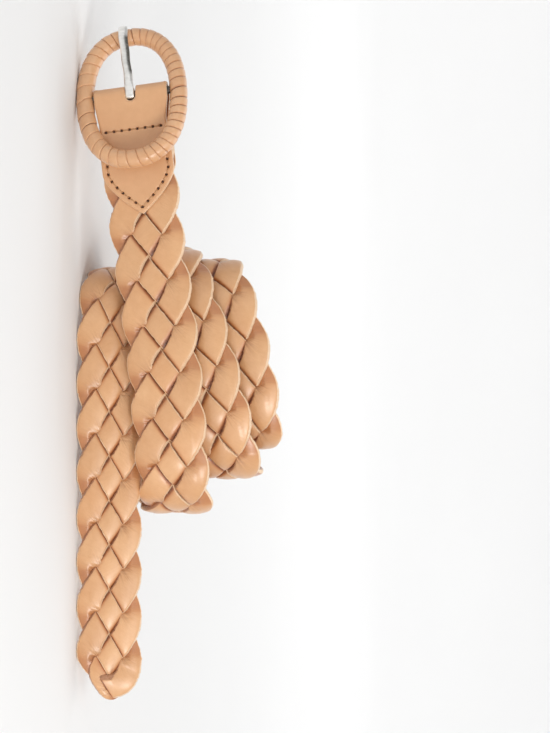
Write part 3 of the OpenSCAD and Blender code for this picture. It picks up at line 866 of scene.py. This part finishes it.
    # painted shade: the hole mask fills the stitch holes with deep brown
    dark = np.concatenate([np.clip(pit * 1.7 - 0.25, 0, 1), np.zeros(nv + 2 * len(bi))])
    ob = new_mesh("chape_turn_back", put(V, M_BAR), F, {"edge": edge, "tuck_shade": tuck_shade, "hole": dark}, shift=False)
    ob.data.materials.append(CHAPE_MAT)
    nt = CHAPE_MAT.node_tree
    bs = nt.nodes["Principled BSDF"]
    old = bs.inputs["Base Color"].links[0].from_socket
    # painted shade inside the stitch holes
    nt.links.new(_mix(nt, _attr(nt, "hole"), old, lin(70, 34, 18)), bs.inputs["Base Color"])
    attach(ob, "strap")
    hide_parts("chape")
    return ob


make_chape()


# ------------------------------------------------------------------ stitches
def tube_along(path, rad, nseg=8):
    path = np.asarray(path, float)
    d = np.gradient(path, axis=0)
    d /= np.linalg.norm(d, axis=1, keepdims=True)
    ref = np.array([0, 1.0, 0])
    a = np.cross(d, ref)
    bad = np.linalg.norm(a, axis=1) < 0.2
    a[bad] = np.cross(d[bad], np.array([0, 0, 1.0]))
    a /= np.linalg.norm(a, axis=1, keepdims=True)
    b = np.cross(d, a)
    th = np.linspace(0, 2 * np.pi, nseg, endpoint=False)
    return path[:, None, :] + rad * (np.cos(th)[None, :, None] * a[:, None, :] + np.sin(th)[None, :, None] * b[:, None, :])


def make_row(name, node, rowp):
    verts, faces, uvs = [], [], []
    base = 0
    surf = HALF_IN + T_CH
    for sgn in (-1, 1):
        for i in range(len(rowp) - 1):
            p, q = np.array(rowp[i]), np.array(rowp[i + 1])
            if sgn > 0 and max(p[0], q[0]) > CH_L - 6:
                continue
            d = q - p
            ln = np.linalg.norm(d)
            t = np.linspace(0, 1, 17)
            e = np.minimum(t, 1 - t) * ln
            hgt = surf - 0.20 - 1.15 * np.exp(-(e / 0.55) ** 2)
            tt = 0.13 + 0.74 * t
            pt = p[None, :] + d[None, :] * tt[:, None]
            path = np.stack([pt[:, 0], sgn * hgt, pt[:, 1]], 1)
            T = tube_along(path, 0.36)
            m, c = T.shape[:2]
            verts.append(T.reshape(-1, 3))
            f = grid_faces(m, c, True, flip=False) + base
            faces += [tuple(x) for x in f]
            faces += [tuple(base + j for j in range(c - 1, -1, -1)), tuple(base + (m - 1) * c + j for j in range(c))]
            uu = np.stack([np.broadcast_to((t * ln * 4)[:, None], (m, c)), np.broadcast_to(np.arange(c)[None, :] / c * 2, (m, c))], -1)
            uvs.append(uu.reshape(-1, 2))
            base += m * c
    ob = new_mesh(name, put(np.vstack(verts), M_BAR), faces, None, np.vstack(uvs), shift=False)
    ob.data.materials.append(THREAD)
    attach(ob, "strap")
    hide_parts(node)


make_row("bar_stitch_thread", "bar_stitch", BARS)
make_row("contour_stitch_thread", "contour_stitch", CONS)


# ------------------------------------------------------------------ tongue
def make_tongue():
    bar_r = 1.8 + 0.06
    th0 = 1.25
    # centre line of the metal in the ring's plane frame: tip, toe, straight, curl
    lay = TUBE + 0.12
    toe = RA - ROFF
    pts = [(-toe - 3.6, -lay + 1.55), (-toe - 3.2, -lay + 0.2), (-toe - 2.2, -lay - 0.75), (-toe - 0.4, -lay - 1.02), (-toe + 3, -lay - 0.92),
           (-toe + 8, -lay - 0.72), (-20, -4.25), (-12, -3.5), (-6, -2.9), (-2, -2.5), (1.2, -2.42), (2.1, -1.6)]
    cr = bar_r + th0 / 2
    for a in np.linspace(-25, 200, 24):
        pts.append((cr * math.cos(math.radians(a)), cr * math.sin(math.radians(a))))
    P = np.array(pts)
    # resample smoothly
    seg = np.concatenate([[0], np.cumsum(np.linalg.norm(np.diff(P, axis=0), axis=1))])
    L = seg[-1]
    ss = np.linspace(0, L, 190)
    X = np.interp(ss, seg, P[:, 0])
    Y = np.interp(ss, seg, P[:, 1])
    for _ in range(6):
        X[1:-1] = (X[:-2] + 2 * X[1:-1] + X[2:]) / 4
        Y[1:-1] = (Y[:-2] + 2 * Y[1:-1] + Y[2:]) / 4
    C = np.stack([X, Y], 1)
    d = np.gradient(C, axis=0)
    d /= np.linalg.norm(d, axis=1, keepdims=True)
    nrm = np.stack([d[:, 1], -d[:, 0]], 1)       # outward: away from the ring, to the front
    nrm = np.where((nrm[:, 1:2] > 0) & (ss[:, None] < L * 0.75), -nrm, nrm)
    th = np.interp(ss, [0, 2, 5, 16, 30, 34, L], [0.8, 1.7, 2.1, 1.95, 1.5, 1.25, 1.2])
    wd = np.interp(ss, [0, 0.8, 2.2, 5, 24, 32, L], [2.0, 3.3, 4.1, 4.35, 3.9, 4.1, 4.1])
    # section: flat face to the front-left, long bevel on the upper side
    sec = [(-1, -0.55), (-1, 0.35), (-0.82, 0.85), (-0.5, 1.0), (0.1, 1.0), (0.42, 0.86), (0.72, 0.3), (1, -0.25), (1, -0.6), (0.8, -0.95), (0, -1), (-0.8, -0.95)]
    sec_r = [(-1, -0.5), (-1, 0.5), (-0.9, 0.86), (-0.6, 1.0), (0, 1.0), (0.6, 1.0), (0.9, 0.86), (1, 0.5), (1, -0.5), (0.85, -0.95), (0, -1), (-0.85, -0.95)]
    sec, sec_r = np.array(sec), np.array(sec_r)
    k = smooth01((ss - 29) / 6)[:, None, None] + (1 - smooth01((ss - 1.0) / 5))[:, None, None]
    k = np.clip(k, 0, 1)
    S = sec[None] * (1 - k) + sec_r[None] * k
    V = np.zeros((len(ss), len(sec), 3))
    V[:, :, 0] = C[:, 0, None] + nrm[:, 0, None] * S[:, :, 1] * th[:, None] / 2
    V[:, :, 1] = C[:, 1, None] + nrm[:, 1, None] * S[:, :, 1] * th[:, None] / 2
    lean = -1.5 * smooth01((-C[:, 0] - 1.0) / (toe + 2.0)) ** 0.8 + 0.12 * np.sin(ss * 0.55) * smooth01(-C[:, 0] / 6)
    V[:, :, 2] = S[:, :, 0] * wd[:, None] / 2 + lean[:, None]
    n, c = V.shape[:2]
    faces = [tuple(f) for f in grid_faces(n, c, True, flip=True)]
    faces += [tuple(range(c)), tuple((n - 1) * c + j for j in range(c - 1, -1, -1))]
    # painted dark reflection: the facet mask darkens the upper bevel and, more faintly, part of the other side
    painted_facet_reflection = np.zeros((n, c))
    painted_facet_reflection[:, 4:8] = (smooth01((ss - 6) / 2.5) * (1 - smooth01((ss - 25) / 3)))[:, None] * np.array([0.15, 0.75, 1.0, 0.9])[None, :]
    painted_facet_reflection[:, 0:3] += (0.35 * smooth01((ss - 14) / 4) * (1 - smooth01((ss - 31) / 3)))[:, None]
    ob = new_mesh("tongue_prong", put(V.reshape(-1, 3), M_RING), faces, {"painted_facet_reflection": painted_facet_reflection.ravel()}, shift=False)
    ob.data.materials.append(NICKEL)
    bv = ob.modifiers.new("bevel", "BEVEL")
    bv.width = 0.00012
    bv.segments = 2
    bv.limit_method = "ANGLE"
    bv.angle_limit = math.radians(24)
    ob.data.set_sharp_from_angle(angle=math.radians(26))
    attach(ob, "prong")
    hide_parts("tongue")


make_tongue()

# painted shade: the bar and the hidden frame get the near-black core metal, standing in for the shaded gap
for nm in ("centre_bar", "buckle_frame"):
    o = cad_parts[nm]
    o.data.materials.clear()
    o.data.materials.append(CORE_METAL_SHADED)

# ------------------------------------------------------------------ floor and backdrop
def make_stage():
    prof = [(0.0, 0.0), (0.4, 0.0), (0.9, 0.0), (1.5, 0.0)]
    for a in np.linspace(0, 90, 15)[1:]:
        prof.append((1.5 + 0.8 * math.sin(math.radians(a)), 0.8 - 0.8 * math.cos(math.radians(a))))
    prof += [(2.3, 1.1)]
    m = 96
    V, F = [(0, 0, 0)], []
    for r, z in prof[1:]:
        V += [(r * math.cos(2 * math.pi * j / m), r * math.sin(2 * math.pi * j / m), z) for j in range(m)]
    F += [(0, 1 + j, 1 + (j + 1) % m) for j in range(m)]
    for i in range(len(prof) - 2):
        for j in range(m):
            a0, a1 = 1 + i * m + j, 1 + i * m + (j + 1) % m
            F.append((a0, a0 + m, a1 + m, a1))
    me = bpy.data.meshes.new("stage_sweep")
    me.from_pydata(V, [], F)
    me.polygons.foreach_set("use_smooth", [True] * len(me.polygons))
    ob = bpy.data.objects.new("stage_sweep", me)
    bpy.context.scene.collection.objects.link(ob)
    m = bpy.data.materials.new("paper_white")
    m.use_nodes = True
    nt = m.node_tree
    b = nt.nodes["Principled BSDF"]
    co = nt.nodes.new("ShaderNodeTexCoord").outputs["Object"]
    c = _ramp(nt, _noise(nt, co, 3.0, 2), [(0.3, (0.83, 0.83, 0.83)), (0.7, (0.845, 0.845, 0.845))])
    nt.links.new(c, b.inputs["Base Color"])
    b.inputs["Roughness"].default_value = 0.75
    b.inputs["Specular IOR Level"].default_value = 0.2
    me.materials.append(m)


make_stage()


def area(name, loc, target, size, power, col=(1, 1, 1)):
    li = bpy.data.lights.new(name, "AREA")
    li.shape = "RECTANGLE"
    li.size, li.size_y = size
    li.energy = power
    li.color = col
    ob = bpy.data.objects.new(name, li)
    ob.location = loc
    d = Vector(target) - Vector(loc)
    ob.rotation_mode = "QUATERNION"
    ob.rotation_quaternion = d.to_track_quat("-Z", "Y")
    bpy.context.scene.collection.objects.link(ob)
    return ob


area("key_softbox", (0.30, -0.92, 1.02), (0, 0, 0.04), (0.70, 0.70), 3.7, (1, 0.985, 0.96))
area("low_softbox", (0.62, -0.85, 0.42), (0.04, 0, 0.06), (0.27, 0.27), 4.3, (1, 0.99, 0.97))
area("fill_softbox", (-0.9, -1.0, 0.4), (0, 0, 0.04), (0.9, 0.9), 1.3)
area("top_softbox", (0.15, 0.3, 1.3), (0, 0, 0), (0.8, 0.8), 2.8)
area("floor_wash", (0.0, 1.15, 1.0), (0.0, 1.15, 0.0), (2.4, 0.8), 6.7)
area("back_wash", (0.0, 1.0, 1.7), (0, 2.3, 0.25), (2.6, 0.5), 9.5)

world = bpy.data.worlds.new("studio")
bpy.context.scene.world = world
world.use_nodes = True
world.node_tree.nodes["Background"].inputs["Color"].default_value = (1, 1, 1, 1)
world.node_tree.nodes["Background"].inputs["Strength"].default_value = 0.50

# ------------------------------------------------------------------ camera: the photograph is turned a quarter turn
L_CAM, F_PX, PITCH = 1.1, 2355.0, math.radians(7.5)
fwd = Vector((0, math.cos(PITCH), -math.sin(PITCH)))
right = Vector((0, math.sin(PITCH), math.cos(PITCH)))
upv = Vector((-1, 0, 0))
pos = Vector((SHIFT * MM).tolist()) - fwd * L_CAM - right * ((76.0 - 275.0) / F_PX * L_CAM)
cam = bpy.data.cameras.new("camera")
cam_ob = bpy.data.objects.new("camera", cam)
bpy.context.scene.collection.objects.link(cam_ob)
cam_ob.matrix_world = Matrix.Translation(pos) @ Matrix((right, upv, -fwd)).transposed().to_4x4()
cam.sensor_width = 36.0
cam.lens = 36.0 * F_PX / 733.0
cam.clip_start, cam.clip_end = 0.01, 20
cam.dof.use_dof = False
bpy.context.scene.camera = cam_ob
sc = bpy.context.scene
sc.view_settings.view_transform = "Standard"
sc.view_settings.look = "None"
sc.view_settings.exposure = 0.0
